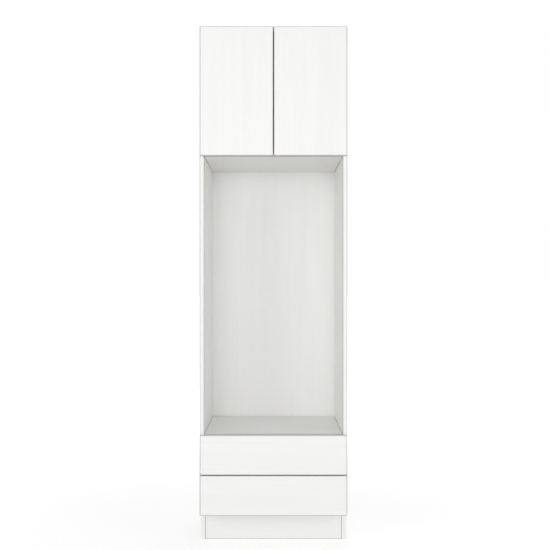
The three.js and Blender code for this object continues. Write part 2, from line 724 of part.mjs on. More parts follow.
function runnersFor(drawerName, centreZ, shapes) {
  return sides.map((side) => {
    const members = Object.entries(shapes).map(([kind, geometry]) =>
      piece(`${drawerName}_${side.name}_${kind}`, forSide(geometry, side), "zinc"));
    const group = groupOf(`${drawerName}_${side.name}_runner`, ...members);
    group.position.set(side.sign * (innerX - SEAM), runnerFrontY, centreZ);
    return group;
  });
}

// ---- Drawer boxes ----------------------------------------------------------------------
const boxOuterX = innerX - RUNNER_THICKNESS - 2 * SEAM;
const boxInnerX = boxOuterX - BOX_BOARD;
const boxRearY = runnerFrontY + runnerLength;
const boxLength = boxRearY - frontBackY;
const bottomReach = boxInnerX + BOX_GROOVE_DEPTH - GROOVE_PLAY;
const bottomLowZ = BOX_BOTTOM_RISE - BOX_HEIGHT / 2;

// Drawer side, centred on the height of the box, with the groove for the bottom and the bores
// for the cams that hold the front.
function boxSideGeometry() {
  const half = BOX_HEIGHT / 2;
  const grooveLow = bottomLowZ - GROOVE_PLAY;
  const grooveHigh = bottomLowZ + BOX_BOTTOM + GROOVE_PLAY;
  const outline = outlineOf([
    [0, -half],
    [BOX_BOARD, -half],
    [BOX_BOARD, grooveLow],
    [BOX_BOARD - BOX_GROOVE_DEPTH, grooveLow],
    [BOX_BOARD - BOX_GROOVE_DEPTH, grooveHigh],
    [BOX_BOARD, grooveHigh],
    [BOX_BOARD, half],
    [0, half],
  ]);
  const length = boxLength - SEAM;
  const bores = [grooveHigh + DRAWER_CAM_MARGIN, half - DRAWER_CAM_MARGIN].map((height) =>
    camBore().rotateY(Math.PI / 2).translate(BOX_BOARD, CAM_END_DISTANCE, height));
  return cutBy(prismForward(outline, length).translate(0, length, 0), bores);
}

// Drawer front with a blind groove across its back, boxZ being the box's centre from its own.
function drawerFrontGeometry(height, boxZ) {
  const low = boxZ + bottomLowZ - GROOVE_PLAY;
  const groove = block(
    [-bottomReach - GROOVE_PLAY, -BOX_GROOVE_DEPTH, low],
    [bottomReach + GROOVE_PLAY, OVERCUT, low + BOX_BOTTOM + 2 * GROOVE_PLAY]);
  return cutBy(frontGeometry(drawerFrontWidth, height), [groove]);
}

function drawer(name, frontLowZ, frontHeight, boxZ, runnerShapes) {
  const frontZ = frontLowZ + frontHeight / 2;
  const front = piece(`${name}_front`, drawerFrontGeometry(frontHeight, boxZ - frontZ), "front");
  front.position.set(0, frontBackY, frontZ);

  const sideGeometry = boxSideGeometry();
  const boxSides = sides.map((side) => {
    const panel = piece(`${name}_${side.name}_side`, forSide(sideGeometry, side), "board");
    panel.position.set(side.sign * boxOuterX, frontBackY + SEAM, boxZ);
    return panel;
  });

  const bottomZ = boxZ + bottomLowZ;
  const bottom = board(`${name}_bottom`, [-bottomReach, bottomReach],
    [frontBackY - BOX_GROOVE_DEPTH + GROOVE_PLAY, boxRearY], [bottomZ, bottomZ + BOX_BOTTOM]);
  const back = board(`${name}_back`, [SEAM - boxInnerX, boxInnerX - SEAM],
    [boxRearY - BOX_BOARD, boxRearY], [bottomZ + BOX_BOTTOM + SEAM, boxZ + BOX_HEIGHT / 2]);

  return groupOf(name, front, ...boxSides, bottom, back, ...runnersFor(name, boxZ, runnerShapes));
}

function drawers() {
  const shapes = runnerGeometries();
  const lowerZ = (bottomTopZ + drawerSplitZ) / 2;
  const upperZ = (drawerSplitZ + ovenShelfTopZ - BOARD) / 2;
  return [
    drawer("upper_drawer", upperFrontZ, UPPER_FRONT_HEIGHT, upperZ, shapes),
    drawer("lower_drawer", TOE_KICK_HEIGHT, LOWER_FRONT_HEIGHT, lowerZ, shapes),
  ];
}

// ---- The whole unit --------------------------------------------------------------------
const carcass = groupOf("carcass", ...sidePanels(), ...fixedBoards(), toeKick(),
  ...backPanels(), ...rearRails(), adjustableShelf(), ...shelfPins());
const cupboardDoors = groupOf("cupboard_doors", ...doors(), ...hinges());
const drawerStack = groupOf("drawers", ...drawers());

export default groupOf("tall_oven_housing_unit", carcass, cupboardDoors, drawerStack);
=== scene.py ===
"""Finishes, small hardware, stage, light and camera of the tall oven housing unit.

Metres, +Z up, fronts towards -Y, floor at z = 0. Every new piece is a surface worked out as
whole arrays of points, and takes its place from the box of the part that carries it.
"""

import json

import bpy
import numpy as np
from bpy.props import FloatProperty, FloatVectorProperty, IntProperty, PointerProperty
from mathutils import Matrix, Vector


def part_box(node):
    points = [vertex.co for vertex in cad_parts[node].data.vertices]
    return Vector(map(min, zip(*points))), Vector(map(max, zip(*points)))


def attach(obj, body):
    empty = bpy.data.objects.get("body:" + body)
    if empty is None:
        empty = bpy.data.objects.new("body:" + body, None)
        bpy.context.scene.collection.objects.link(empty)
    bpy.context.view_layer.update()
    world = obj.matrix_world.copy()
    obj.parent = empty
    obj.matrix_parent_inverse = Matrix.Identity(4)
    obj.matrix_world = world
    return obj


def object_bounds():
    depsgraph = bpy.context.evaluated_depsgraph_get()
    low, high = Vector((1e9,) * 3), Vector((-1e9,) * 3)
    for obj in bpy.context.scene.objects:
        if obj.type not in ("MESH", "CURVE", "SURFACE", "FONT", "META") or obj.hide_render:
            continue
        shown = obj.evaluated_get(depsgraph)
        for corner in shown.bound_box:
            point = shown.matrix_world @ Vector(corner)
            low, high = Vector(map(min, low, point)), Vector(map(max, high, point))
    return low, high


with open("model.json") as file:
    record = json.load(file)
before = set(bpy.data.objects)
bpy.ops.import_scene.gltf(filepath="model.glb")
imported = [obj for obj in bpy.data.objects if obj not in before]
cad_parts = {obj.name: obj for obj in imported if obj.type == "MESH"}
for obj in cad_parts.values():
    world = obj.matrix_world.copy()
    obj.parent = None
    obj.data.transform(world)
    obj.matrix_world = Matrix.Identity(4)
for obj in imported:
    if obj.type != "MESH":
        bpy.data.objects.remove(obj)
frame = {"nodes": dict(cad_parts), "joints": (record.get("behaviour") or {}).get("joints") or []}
cad_low, cad_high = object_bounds()

bl_info = {
    "name": "Tall oven housing unit",
    "version": (1, 0, 0),
    "blender": (4, 5, 0),
    "location": "View3D > Sidebar > Housing",
    "description": "Finishes, small hardware and stage of a tall oven housing unit",
    "category": "Object",
}

MM = 0.001
X, Y, Z = 0, 1, 2
WHITE = (1, 1, 1, 1)
SIDES = (("left", -1.0), ("right", 1.0))

# Parts by kind
SIDE_PANELS = ("left_side_panel", "right_side_panel")
SHELVES = ("top_panel", "cupboard_base", "oven_shelf", "bottom_panel")
BACKS = ("lower_back_panel", "oven_back_panel", "upper_back_panel")
RAILS = ("top_rear_rail", "upper_rear_rail", "lower_rear_rail", "rear_kick_rail")
DOORS = ("left_door", "right_door")
DRAWERS = ("lower_drawer", "upper_drawer")
DRAWER_SIDES = [(name, side, sign) for name in DRAWERS for side, sign in SIDES]
DRAWER_FRONTS = [f"{name}_front" for name in DRAWERS]

# Faces and edges
WELD_DISTANCE = 0.005 * MM
BOARD_EDGE_DEGREES = 60  # a board's own edges turn by more than this
ROUND_FORM_DEGREES = 50  # and the facets of a rolled or turned part by less than this
CREASE_DEGREES = 35  # edges of a screw, cam or cage turn by more than this
CUT_DEPTH = 0.8 * MM  # a surface this far inside a board's box is the wall of a cut
FACE_DEPTH = 0.12 * MM  # and one this close to a face of the box belongs to that face

# Grain: streaks in a metre across and along it, detail and distortion of the noise
FLAME = (17, 0.9, 3, 1.1)
FINE_LINES = (120, 2.4, 4, 0.2)
PORES = (620, 26, 2, 0.0)
GRAIN_SHIFT = 3.7  # times the place of a board's corner, so that no two boards look alike
FIGURE_SPAN = (0.34, 0.62)  # noise values between which the figure goes from light to dark
PORE_SPAN = (0.6, 0.72)  # and between which a pore goes from the skin to its full depth
GRAIN_SHADE, PORE_SHADE, BAND_SHADE, JOINT_SHADE = 0.72, 0.6, 0.97, 0.3
JOINT_FADE = (0.1 * MM, 0.35 * MM)
JOINT_STRENGTH = 0.3
GLOSS_SPAN = (-0.05, 0.07)  # how far the figure moves the roughness
MOTTLE = 0.06  # and how far a cloudy unevenness moves it

# Raw cores, light and dark, the chips in a metre, and the grey of the painted shade along each arris
CHIP_COLOURS = ((0.74, 0.62, 0.46, 1), (0.50, 0.38, 0.25, 1))
FIBRE_COLOURS = ((0.56, 0.43, 0.29, 1), (0.44, 0.33, 0.21, 1))
CHIPS = (1500, 1500, 2100)
RAW_ROUGHNESS = 0.85
PAINTED_ARRIS_SHADE_GREY = (0.16, 0.15, 0.14, 1)

# Screws: height of the head, radius and length of the shank
CUP_SCREW = (1.3 * MM, 1.7 * MM, 3 * MM)
PLATE_SCREW = (1.6 * MM, 2.2 * MM, 4 * MM)
ARM_SCREW = (1.4 * MM, 1.8 * MM, 1.2 * MM)
CABINET_MEMBER_SCREW = (0.35 * MM, 1.9 * MM, 3 * MM)
DRAWER_MEMBER_SCREW = (1.5 * MM, 1.9 * MM, 3 * MM)
DRAWER_BACK_SCREW = (0.3 * MM, 2.5 * MM, 8 * MM)

# Hinges: each pair of screws stands this far from its middle on either side
WING_SPREAD = 24 * MM
PLATE_SPREAD = 16 * MM
ARM_SPREAD = 9.5 * MM
WING_SCREW_INSET = 6 * MM  # from the inner edge of a cup's wings
PLATE_SHEET = 2.4 * MM
ARM_WEB_RISE = 13.5 * MM  # from the side panel to the face of an arm's web
HINGE_RIVET = (2.3 * MM, 0.7 * MM, 0.3 * MM)  # radius, height and foot of the head

# Runners: a cage's web and lips lie this far inside the outer face of the cabinet member
RUNNER_SHEET = 1.2 * MM
SLOT_INSET = 37 * MM  # from each end of a member to the screw nearest to it
OUTER_CAGE = (1.75 * MM, 8.6 * MM)
INNER_CAGE = (3.9 * MM, 9.0 * MM)
CAGE_SHEET = 0.4 * MM
CAGE_BEND = 1.4 * MM
CAGE_END_GAP = 6 * MM
CAGE_HALFWAY_GAP = 4 * MM
FIRST_BALL = 8 * MM  # from the end of its cage

# Release levers: where a swelling lies along the lever, how far it rises and how wide it is
LEVER_THUMB = (0.13, 2.2 * MM, 0.10)
LEVER_PIVOT = (0.90, 2.6 * MM, 0.09)
LEVER_ARM = 1.9 * MM  # half the height of the arm between them
LEVER_END = 0.12  # share of each half of the length in which the end closes
LEVER_DROP = 3 * MM
LEVER_PLAY = 0.2 * MM
LEVER_CLEARANCE = 8 * MM  # ahead of the middle member when the drawer is out
LEVER_RIVET = (2.4 * MM, 0.7 * MM, 0.2 * MM)

# Cams and screws of the boards: where they are bored, and how a cam sits in its bore
CAM_END_DISTANCE = 34 * MM
CAM_EDGE_DISTANCE = 60 * MM
DRAWER_CAM_MARGIN = 20 * MM
GROOVE_PLAY = 0.3 * MM
CAM_DISC = 3 * MM
CAM_BODY = 6 * MM
CAM_SUNK = 0.4 * MM
BACK_SCREW_HEIGHTS = (-30 * MM, 38 * MM)  # from the middle of a drawer's side

# Bumper pads
PAD_HEIGHT = 1.6 * MM
PAD_FOOT = 0.1 * MM
DOOR_PAD_OFFSET = 28 * MM  # from the middle of the unit
FRONT_PAD_MARGIN = 20 * MM

# Stage
LAMPS = {  # place and diameter of each
    "key": ((-2.8, -3.4, 1.9), 2.2),
    "fill": ((3.2, -3.0, 1.6), 2.4),
    "front": ((-0.4, -9.0, 1.2), 3.7),
    "rear": ((0.8, 5.4, 1.8), 2.4),
    "top": ((0.3, 0.4, 4.4), 2.4),
}
FLOOR_GREYS = ((0.86, 0.86, 0.86, 1), (0.89, 0.89, 0.89, 1))
GLOW_RADII = (0.5, 4.0)
FLOOR_GLOW = (0.37, 0.66)  # near the unit and far from it
FLOOR_RINGS, FLOOR_SIDES = 8, 64
SENSOR_WIDTH = 36
LENS_REACH = 200


# ---- Surfaces --------------------------------
def closed_surface(rings):
    """Closed surface through rings of points.

    Point (i, j) is point j of ring i. Four points of neighbouring rings make a face, the last
    point of a ring joins the first, and each end ring is closed by a fan about its mean point.
    Returns the points, the four-sided faces and the three-sided ones.
    """
    count, around = rings.shape[:2]
    ends = rings[[0, -1]].mean(axis=1)
    points = np.concatenate([rings.reshape(-1, 3), ends])
    i, j = np.meshgrid(np.arange(count - 1), np.arange(around), indexing="ij")
    here, beside = i * around + j, i * around + (j + 1) % around
    quads = np.stack([here, beside, beside + around, here + around], -1).reshape(-1, 4)
    j = np.arange(around)
    k = (j + 1) % around
    first = np.full(around, count * around)
    last_ring = (count - 1) * around
    triangles = np.concatenate([
        np.stack([k, j, first], -1),
        np.stack([last_ring + j, last_ring + k, first + 1], -1),
    ])
    return points, quads, triangles


def open_sheet(profile, start, end):
    """Sheet of a profile in xz that is carried along y from start to end: four points of
    neighbouring rows make a face."""
    rows = np.stack([np.insert(profile, 1, y, axis=1) for y in (start, end)])
    count, along = rows.shape[:2]
    i, j = np.meshgrid(np.arange(count - 1), np.arange(along - 1), indexing="ij")
    here = i * along + j
    quads = np.stack([here, here + 1, here + 1 + along, here + along], -1).reshape(-1, 4)
    return rows.reshape(-1, 3), quads, np.zeros((0, 3), int)


def circle(around):
    """Cosines and sines of angles that go round in equal steps."""
    angle = np.arange(around) * 2 * np.pi / around
    return np.cos(angle), np.sin(angle)


def turned_profile(radii, heights, around):
    """Rings about +Z: point (i, j) is (r cos a, r sin a, h), with r and h from the profile's
    point i and the angle a going round in equal steps with j."""
    cos, sin = circle(around)
    radii, heights = np.asarray(radii, float)[:, None], np.asarray(heights, float)[:, None]
    return np.stack([radii * cos, radii * sin, heights + 0 * cos], -1)


def screw_rings(radius, height, shank_radius, shank_length, recess=0.75, crown=0.45, around=32):
    """Screw head about +Z, seated on z = 0, with a cross recess and a shank below.

    At a share s of the radius the head stands height * (1 - crown * s^2). The recess takes
    away up to its share of the height where the point lies inside either arm of a cross, and
    its walls slope over a short width. The rim is bevelled, and below it the profile runs in
    to the shank.
    """
    share = np.linspace(0.08, 0.94, 13)[:, None]
    x, y = (radius * share * part for part in circle(around))
    arm_width, arm_length, slope = 0.13 * radius, 0.6 * radius, 0.1 * radius
    inside = np.maximum(
        np.minimum(arm_width - abs(x), arm_length - abs(y)),
        np.minimum(arm_width - abs(y), arm_length - abs(x)))
    sunk = np.clip(inside / slope + 0.5, 0, 1) * recess * height
    head = np.stack([x, y, height * (1 - crown * share**2) - sunk], -1)
    bevel = min(0.06 * radius, 0.3 * height)
    foot = turned_profile(
        [radius, radius * 0.99, shank_radius, shank_radius, shank_radius * 0.6],
        [height * (1 - crown) - bevel, 0, 0, -0.8 * shank_length, -shank_length], around)
    return np.concatenate([head, foot])


def cam_rings(radius):
    """Cam about +Z in its bore: a level disc with a deep cross, just below z = 0, on a body."""
    disc = screw_rings(radius, CAM_DISC, 0.8 * radius, CAM_BODY, recess=0.7, crown=0.0, around=40)
    return disc - (0, 0, CAM_DISC + CAM_SUNK)


def dome_rings(radius, height, foot, around=16, steps=6):
    """Low dome about +Z: at an angle t from the rim the radius is r cos t and the height is
    h sin t, each with a power that keeps the top flat and the shoulder round. Its rim goes
    straight down to the foot."""
    t = np.linspace(0, np.pi / 2 * 0.94, steps)[::-1]
    radii = np.append(radius * np.cos(t) ** 0.7, radius)
    heights = np.append(height * np.sin(t) ** 0.8, -foot)
    return turned_profile(radii, heights, around)


def ball_rings(radius, steps=8, around=10):
    """Sphere about the origin: at an angle t from +Z the radius is r sin t, the height r cos t."""
    t = np.linspace(0, np.pi, steps)[1:-1]
    return turned_profile(radius * np.sin(t), radius * np.cos(t), around)


def lever_rings(length, thickness, count=36, around=16):
    """Release lever from y = 0, its thumb end, to y = length, its pivot end.

    At a share s of the length the section is a rounded rectangle, |x / w|^4 + |z / h|^4 = 1.
    The half height h is a slim arm that swells in a bell curve at the thumb and at the pivot.
    Both w and h close in a quarter circle at each end, and the middle line drops towards the
    thumb as the square of the distance from the pivot.
    """
    share = (1 - np.cos(np.linspace(0, np.pi, count)))[:, None] / 2
    half_height = LEVER_ARM
    for middle_share, rise, width in (LEVER_THUMB, LEVER_PIVOT):
        half_height = half_height + rise * np.exp(-((share - middle_share) / width) ** 2)
    beyond = np.clip((abs(2 * share - 1) - 1 + LEVER_END) / LEVER_END, 0, 0.98)
    closing = np.sqrt(1 - beyond**2)
    cos, sin = circle(around)
    x = np.sign(cos) * abs(cos) ** 0.5 * closing * thickness / 2
    z = np.sign(sin) * abs(sin) ** 0.5 * closing * half_height
    drop = LEVER_DROP * (1 - share) ** 2
    return np.stack([x, np.broadcast_to(length * share, x.shape), z - drop], -1)


def track_profile(web_x, lip_x, half_height, bend):
    """Middle line of a channel in xz: from the lip end of one flange along the flange, round
    a quarter circle into the web and out along the other flange."""
    angle = np.linspace(0, np.pi / 2, 5)
    inward = np.sign(lip_x - web_x)
    corner_x = web_x + inward * bend * (1 - np.cos(angle))
    corner_z = half_height - bend + bend * np.sin(angle)
    upper = np.stack([np.append(corner_x, lip_x), np.append(corner_z, half_height)], -1)
    return np.concatenate([upper[::-1], upper * (1, -1)])


def axes_for(direction, turn=0.0):
    """Turning matrix that stands +Z along a direction, after a turn about +Z itself."""
    w = np.asarray(direction, float)
    w = w / np.linalg.norm(w)
    u = np.cross((0, 0, 1) if abs(w[2]) < 0.99 else (0, 1, 0), w)
    u = u / np.linalg.norm(u)
    v = np.cross(w, u)
    cos, sin = np.cos(turn), np.sin(turn)
    return np.stack([cos * u + sin * v, cos * v - sin * u, w], axis=1)


def stopped_at(direction, *turns):
    """Matrices for copies that face one way, each driven home to an angle of its own, in
    radians."""
    return [axes_for(direction, turn) for turn in turns]


def at_places(surface, places, matrices):
    """The same surface at several places, as one surface: each copy's points are turned by its
    matrix and moved to its place, and the numbers in its faces go up by the points before it."""
    points, quads, triangles = surface
    places = np.asarray(places, float)
    copies = np.einsum("kij,nj->kni", np.asarray(matrices), points) + places[:, None]
    step = (np.arange(len(places)) * len(points))[:, None, None]
    return (copies.reshape(-1, 3), (quads + step).reshape(-1, 4),
            (triangles + step).reshape(-1, 3))


def signed_volume(points, triangles):
    """Sum over the triangles of a . (b x c) / 6, positive where they face outwards."""
    a, b, c = (points[triangles[:, i]] for i in range(3))
    return np.einsum("ij,ij->i", a, np.cross(b, c)).sum() / 6


def put_piece(name, surface, material, body=None, creased=False):
    """A smooth mesh object at the origin from a surface. It faces outwards if it rides a body,
    and if it is creased, its own edges stay clear in the shading."""
    points, quads, triangles = surface
    halves = np.concatenate([quads[:, [0, 1, 2]], quads[:, [0, 2, 3]], triangles])
    if body and signed_volume(points - points.mean(0), halves) < 0:
        quads, triangles = quads[:, ::-1], triangles[:, ::-1]
    mesh = bpy.data.meshes.new(name)
    mesh.from_pydata(points.tolist(), [], quads.tolist() + triangles.tolist())
    if mesh.validate():
        raise RuntimeError(f"{name} has faces that don't hold together")
    mesh.polygons.foreach_set("use_smooth", np.ones(len(mesh.polygons), bool))
    mesh.materials.append(material)
    made = bpy.data.objects.new(name, mesh)
    bpy.context.scene.collection.objects.link(made)
    if creased:
        mesh.set_sharp_from_angle(angle=np.radians(CREASE_DEGREES))
    if body:
        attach(made, body)
    return made


def put_copies(name, rings, places, turns, finish, body, creased=True):
    """Copies of one closed form as one piece."""
    copies = at_places(closed_surface(rings), places, turns)
    put_piece(name, copies, need(finish), body, creased)


# ---- Places ----------------------------------
def box_of(node):
    """Lowest and highest corner of a CAD part as arrays."""
    low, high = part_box(node)
    return np.array(low), np.array(high)


def centre_of(node):
    return sum(box_of(node)) / 2


def faces_across(node):
    """How far a part's inner and outer face lie from the unit's middle plane."""
    low, high = box_of(node)
    return sorted([abs(low[X]), abs(high[X])])


def joint_named(name):
    return next(joint for joint in frame["joints"] if joint["name"] == name)


def plating(node):
    """Name of the plating on a metal part, and nothing for a board."""
    if "_hinge_" in node or node.startswith("shelf_pin"):
        return "nickel_plate"
    return "zinc_plate" if node.endswith("_member") else ""


# ---- Materials -------------------------------
class Shelf:
    """A material's nodes. Each call adds one and returns the socket that it gives."""

    def __init__(self, name):
        found = bpy.data.materials.get(name)
        if found:
            bpy.data.materials.remove(found)
        self.material = bpy.data.materials.new(name)
        self.material.use_nodes = True
        self.tree = self.material.node_tree
        self.shader = self.tree.nodes["Principled BSDF"]

    def add(self, kind, output=0, inputs=None, **settings):
        made = self.tree.nodes.new(kind)
        for key, value in settings.items():
            setattr(made, key, value)
        for key, value in (inputs or {}).items():
            self.plug(made.inputs[key], value)
        return made.outputs[output]

    def plug(self, socket, value):
        if isinstance(value, bpy.types.NodeSocket):
            self.tree.links.new(value, socket)
        else:
            socket.default_value = value

    def set(self, **values):
        for key, value in values.items():
            self.plug(self.shader.inputs[key.replace("_", " ")], value)

    def place(self):
        return self.add("ShaderNodeTexCoord", "Object")

    def parts(self, vector):
        made = self.tree.nodes.new("ShaderNodeSeparateXYZ")
        self.plug(made.inputs[0], vector)
        return made.outputs

    def math(self, operation, first, second=0.0, third=0.0):
        return self.add("ShaderNodeMath", inputs={0: first, 1: second, 2: third},
                        operation=operation)

    def stretched(self, vector, scale, shift=(0, 0, 0)):
        return self.add("ShaderNodeMapping",
                        inputs={"Vector": vector, "Scale": scale, "Location": shift})

    def noise(self, vector, scale, detail=2.0, roughness=0.5, distortion=0.0):
        return self.add("ShaderNodeTexNoise", "Fac", inputs={
            "Vector": vector, "Scale": scale, "Detail": detail,
            "Roughness": roughness, "Distortion": distortion})

    def cells(self, vector, scale):
        """Outputs of a pattern of cells, among them Distance and Color."""
        made = self.tree.nodes.new("ShaderNodeTexVoronoi")
        self.plug(made.inputs["Vector"], vector)
        made.inputs["Scale"].default_value = scale
        return made.outputs

    def ramp(self, value, low, high, out_low=0.0, out_high=1.0, smooth=False):
        return self.add("ShaderNodeMapRange", inputs={
            "Value": value, "From Min": low, "From Max": high,
            "To Min": out_low, "To Max": out_high,
        }, interpolation_type="SMOOTHSTEP" if smooth else "LINEAR")

    def mix(self, share, first, second):
        """Colour between two others."""
        return self.add("ShaderNodeMix", 2, {0: share, 6: first, 7: second}, data_type="RGBA")

    def blend(self, share, first, second):
        """Number between two others."""
        return self.add("ShaderNodeMix", 0, {0: share, 2: first, 3: second})

    def bump(self, height, distance, strength):
        self.set(Normal=self.add("ShaderNodeBump", inputs={
            "Height": height, "Distance": distance, "Strength": strength}))


def solid(colour, shade=1.0):
    """A colour as the four numbers that a shader takes, darkened by a shade."""
    return tuple(channel * shade for channel in colour[:3]) + (1.0,)


def wood_grain(shelf, place, along, shift):
    """Streaks that run along one axis: broad flame figure, narrow lines and short pores."""
    def streaks(across, lengthwise, detail, distortion):
        scale = [across] * 3
        scale[along] = lengthwise
        return shelf.noise(shelf.stretched(place, scale, shift), 1.0, detail, 0.55, distortion)

    lines = shelf.math("MULTIPLY", streaks(*FINE_LINES), 0.55)
    figure = shelf.math("MULTIPLY_ADD", streaks(*FLAME), 0.45, lines)
    pits = shelf.ramp(streaks(*PORES), *PORE_SPAN, smooth=True)
    return figure, pits


def chipboard(shelf, place):
    """Raw sawn edge of a particle board: pale chips, darker chips and small holes."""
    chips = shelf.cells(shelf.stretched(place, CHIPS), 1)["Distance"]
    tone = shelf.noise(place, 900, 3, 0.65)
    share = shelf.math("MULTIPLY_ADD", chips, 0.55, shelf.math("MULTIPLY", tone, 0.55))
    return shelf.mix(shelf.ramp(share, 0.28, 0.72), *CHIP_COLOURS), tone


def fibreboard(shelf, place):
    """Raw cut in fibreboard: an even brown with a fine felt of fibres."""
    felt = shelf.noise(place, 1500, 3, 0.6)
    return shelf.mix(shelf.ramp(felt, 0.3, 0.7), *FIBRE_COLOURS), felt


def board_material(node, colour, along, options, banded=(), raw=(), core=chipboard, notch=None):
    """Faced board: grain along one axis, banded edges, raw edges and raw cuts.

    Each edge is (axis, side), a face of the part's box. A banded edge is plain for the
    band's thickness and ends in a fine joint line. A raw one shows the core, and so does
    every bore and groove, where the surface lies away from all faces of the box, but not the
    faced notch in front of and below the corner (y, z). A painted shade darkens the colour
    towards grey close to each arris, where two faces of the box are near at once.
    """
    low, high = box_of(node)
    shelf = Shelf(node + "_finish")
    place = shelf.place()
    xyz = shelf.parts(place)

    def depth_below(axis, plane):
        return shelf.math("ABSOLUTE", shelf.math("SUBTRACT", xyz[axis], float(plane)))

    figure, pits = wood_grain(shelf, place, along, shift=tuple(GRAIN_SHIFT * value for value in low))
    faced = shelf.mix(shelf.ramp(figure, *FIGURE_SPAN, 0, options.grain_contrast),
                      solid(colour), solid(colour, GRAIN_SHADE))
    faced = shelf.mix(shelf.math("MULTIPLY", pits, options.grain_contrast),
                      faced, solid(colour, PORE_SHADE))
    mottle = shelf.noise(place, 9, 2)
    gloss = shelf.ramp(figure, 0.3, 0.7, *(options.roughness + step for step in GLOSS_SPAN))
    gloss = shelf.math("MULTIPLY_ADD", mottle, MOTTLE, shelf.math("SUBTRACT", gloss, MOTTLE / 2))

    near, inward = [], None
    for axis in (X, Y, Z):
        depths = [depth_below(axis, plane) for plane in (low[axis], high[axis])]
        nearest = shelf.math("MINIMUM", *depths)
        inward = nearest if inward is None else shelf.math("MINIMUM", inward, nearest)
        near.append(shelf.ramp(nearest, 0.0, options.edge_width, 1, 0, smooth=True))
        for side, depth in zip((-1, 1), depths):
            if (axis, side) in banded:
                band = options.band_thickness
                line = shelf.ramp(shelf.math("ABSOLUTE", shelf.math("SUBTRACT", depth, band)),
                                  *JOINT_FADE, JOINT_STRENGTH, 0, smooth=True)
                faced = shelf.mix(shelf.math("LESS_THAN", depth, band),
                                  faced, solid(colour, BAND_SHADE))
                faced = shelf.mix(line, faced, solid(colour, JOINT_SHADE))
    # painted shade: the colour darkens towards grey along each arris, where two faces of the box are
    # near at once
    pairs = [shelf.math("MULTIPLY", near[a], near[b]) for a, b in ((X, Y), (Y, Z), (X, Z))]
    edge = shelf.math("MAXIMUM", pairs[0], shelf.math("MAXIMUM", pairs[1], pairs[2]))
    faced = shelf.mix(shelf.math("MULTIPLY", edge, options.painted_arris_shade), faced, PAINTED_ARRIS_SHADE_GREY)

    bare = shelf.math("GREATER_THAN", inward, CUT_DEPTH)
    if notch:
        behind = shelf.math("GREATER_THAN", xyz[Y], notch[0] + CUT_DEPTH)
        above = shelf.math("GREATER_THAN", xyz[Z], notch[1] + CUT_DEPTH)
        bare = shelf.math("MULTIPLY", bare, shelf.math("MAXIMUM", behind, above))
    for axis, side in raw:
        depth = depth_below(axis, (high if side > 0 else low)[axis])
        bare = shelf.math("MAXIMUM", bare, shelf.math("LESS_THAN", depth, FACE_DEPTH))
    core_colour, felt = core(shelf, place)
    height = shelf.blend(bare, shelf.blend(pits, 0.6, 0.0), felt)
    shelf.set(Base_Color=shelf.mix(bare, faced, core_colour),
              Roughness=shelf.blend(bare, gloss, RAW_ROUGHNESS))
    shelf.bump(height, options.grain_depth, strength=0.5)
    return shelf.material


def metal_material(name, colour, roughness, drawn, spangle=0.0):
    """Plated steel: fine lines in the direction it was drawn or rolled, patches of tone and
    roughness, and for zinc a faint spangle."""
    shelf = Shelf(name)
    place = shelf.place()
    lines = shelf.noise(shelf.stretched(place, drawn), 1.0, 3, 0.6)
    patches = shelf.noise(place, 60, 3, 0.55)
    tone = shelf.math("MULTIPLY_ADD", lines, 0.5, shelf.math("MULTIPLY", patches, 0.5))
    if spangle:
        grey = shelf.parts(shelf.cells(place, 420)["Color"])[0]
        tone = shelf.blend(spangle, tone, grey)
    shelf.set(
        Base_Color=shelf.mix(shelf.ramp(tone, 0.25, 0.75), solid(colour, 0.8), solid(colour)),
        Roughness=shelf.ramp(tone, 0.25, 0.75, roughness + 0.09, roughness - 0.05),
        Metallic=1.0)
    shelf.bump(lines, 0.02 * MM, strength=0.35)


def moulded_material(name, colour, roughness, clear=0.0):
    """Moulded plastic with a fine leathery skin and a slight unevenness of tone."""
    shelf = Shelf(name)
    place = shelf.place()
    skin = shelf.noise(place, 1400, 2, 0.5)
    cloud = shelf.noise(place, 120, 2, 0.5)
    shelf.set(
        Base_Color=shelf.mix(shelf.ramp(cloud, 0.3, 0.7), solid(colour, 0.93), solid(colour)),
        Roughness=shelf.ramp(skin, 0.3, 0.7, roughness - 0.04, roughness + 0.06),
        IOR=1.5, Transmission_Weight=clear)
    shelf.bump(skin, 0.03 * MM, strength=0.3)


def need(name):
    """A shared material that an earlier operator has made."""
    found = bpy.data.materials.get(name)
    if found is None:
        raise RuntimeError(f"make the metal and plastic finishes first: {name} is missing")
    return found


# ---- Settings --------------------------------
def colour_property(name, description, default):
    return FloatVectorProperty(name=name, description=description, subtype="COLOR",
                               size=3, min=0, max=1, default=default)


def number_kind(**kind):
    """Maker of number settings of one kind, each with a name, a description and a default."""
    def make(name, description, default):
        return FloatProperty(name=name, description=description, default=default, min=0, **kind)
    return make


metres = number_kind(subtype="DISTANCE", unit="LENGTH", precision=5)
fraction = number_kind(subtype="FACTOR", max=1)
watts = number_kind(unit="POWER")


class FinishSettings(bpy.types.PropertyGroup):
    front_colour: colour_property(
        "Front", "Foil on the doors and drawer fronts", (0.955, 0.954, 0.934))
    board_colour: colour_property(
        "Carcass", "Melamine on the carcass and drawer boards", (0.95, 0.948, 0.936))
    back_colour: colour_property(
        "Back", "Lacquer on the thin back panels", (0.955, 0.953, 0.941))
    nickel_colour: colour_property("Nickel", "Hinges, shelf pins and screws", (0.62, 0.61, 0.59))
    zinc_colour: colour_property("Zinc", "Drawer runners", (0.55, 0.57, 0.60))
    grain_contrast: fraction("Grain contrast", "How far the grain darkens the facing", 0.10)
    grain_depth: metres("Grain depth", "Depth of the pressed pores", 0.00006)
    roughness: fraction("Roughness", "Middle roughness of the satin facing", 0.46)
    band_thickness: metres("Band", "Thickness of the edge bands", 0.001)
    # painted shade along each board's arrises: its width and how far it darkens
    edge_width: metres("Edge width", "Width of the toned edge of a board", 0.0034)
    painted_arris_shade: fraction("Edge tone", "How far the outermost edge darkens", 0.9)
    edge_round: metres("Edge rounding", "Radius of the carcass boards' edges", 0.0005)


